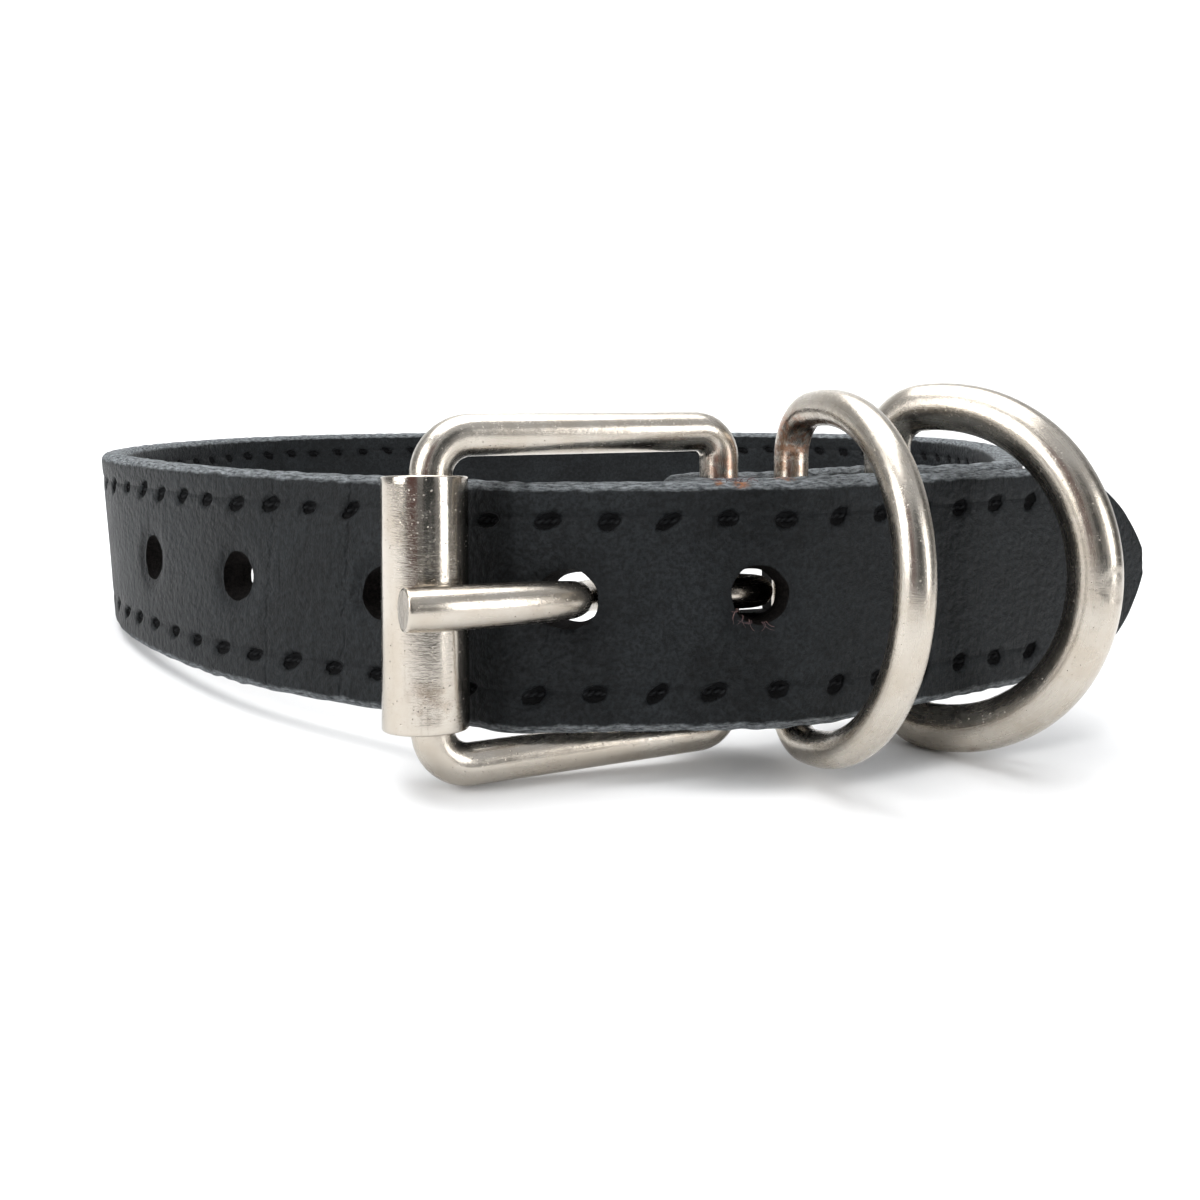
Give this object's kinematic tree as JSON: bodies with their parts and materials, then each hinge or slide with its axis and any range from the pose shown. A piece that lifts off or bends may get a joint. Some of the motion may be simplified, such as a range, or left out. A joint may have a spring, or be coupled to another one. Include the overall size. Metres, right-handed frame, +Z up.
{
  "type": "dog collar",
  "caption": "Leather dog collar fastened as a loop, with a roller buckle, a keeper ring and a leash ring on its folded buckle end, and a pointed strap end with round holes.",
  "frame": {"origin": "centre of the whole collar's bounding box, on the floor it stands on", "axes": "+Z up across the strap's width, -Y towards the buckle, +X towards the strap's pointed end"},
  "size_m": [0.1536, 0.1634, 0.0421],
  "materials": {
    "leather": "black pebbled, slight sheen, grey cut edges",
    "frame_metal": "worn nickel plate",
    "roller_metal": "worn nickel plate, finely pitted",
    "tongue_metal": "worn nickel plate",
    "keeper_metal": "worn nickel plate with light rust",
    "leash_metal": "worn nickel plate"
  },
  "bodies": {
    "collar": {"strap": "leather", "buckle_frame": "frame_metal", "tongue": "tongue_metal"},
    "roller": {"roller": "roller_metal"},
    "keeper_ring": {"keeper_ring": "keeper_metal"},
    "leash_ring": {"leash_ring": "leash_metal"}
  },
  "joints": [
    {"name": "roller_spin", "type": "hinge", "parent": "collar", "child": "roller", "pos_m": [-0.01225, -0.0721, 0.01812], "axis": [-0.0603, 0.1152, 0.9915], "continuous": true},
    {"name": "keeper_ring_swing", "type": "hinge", "parent": "collar", "child": "keeper_ring", "pos_m": [0.02554, -0.05669, 0.02009], "axis": [-0.0321, 0.1449, 0.9889], "range_deg": [-25, 24]},
    {"name": "leash_ring_swing", "type": "hinge", "parent": "collar", "child": "leash_ring", "pos_m": [0.03921, -0.0476, 0.02023], "axis": [-0.085, 0.1139, 0.9899], "range_deg": [-28, 20]}
  ]
}
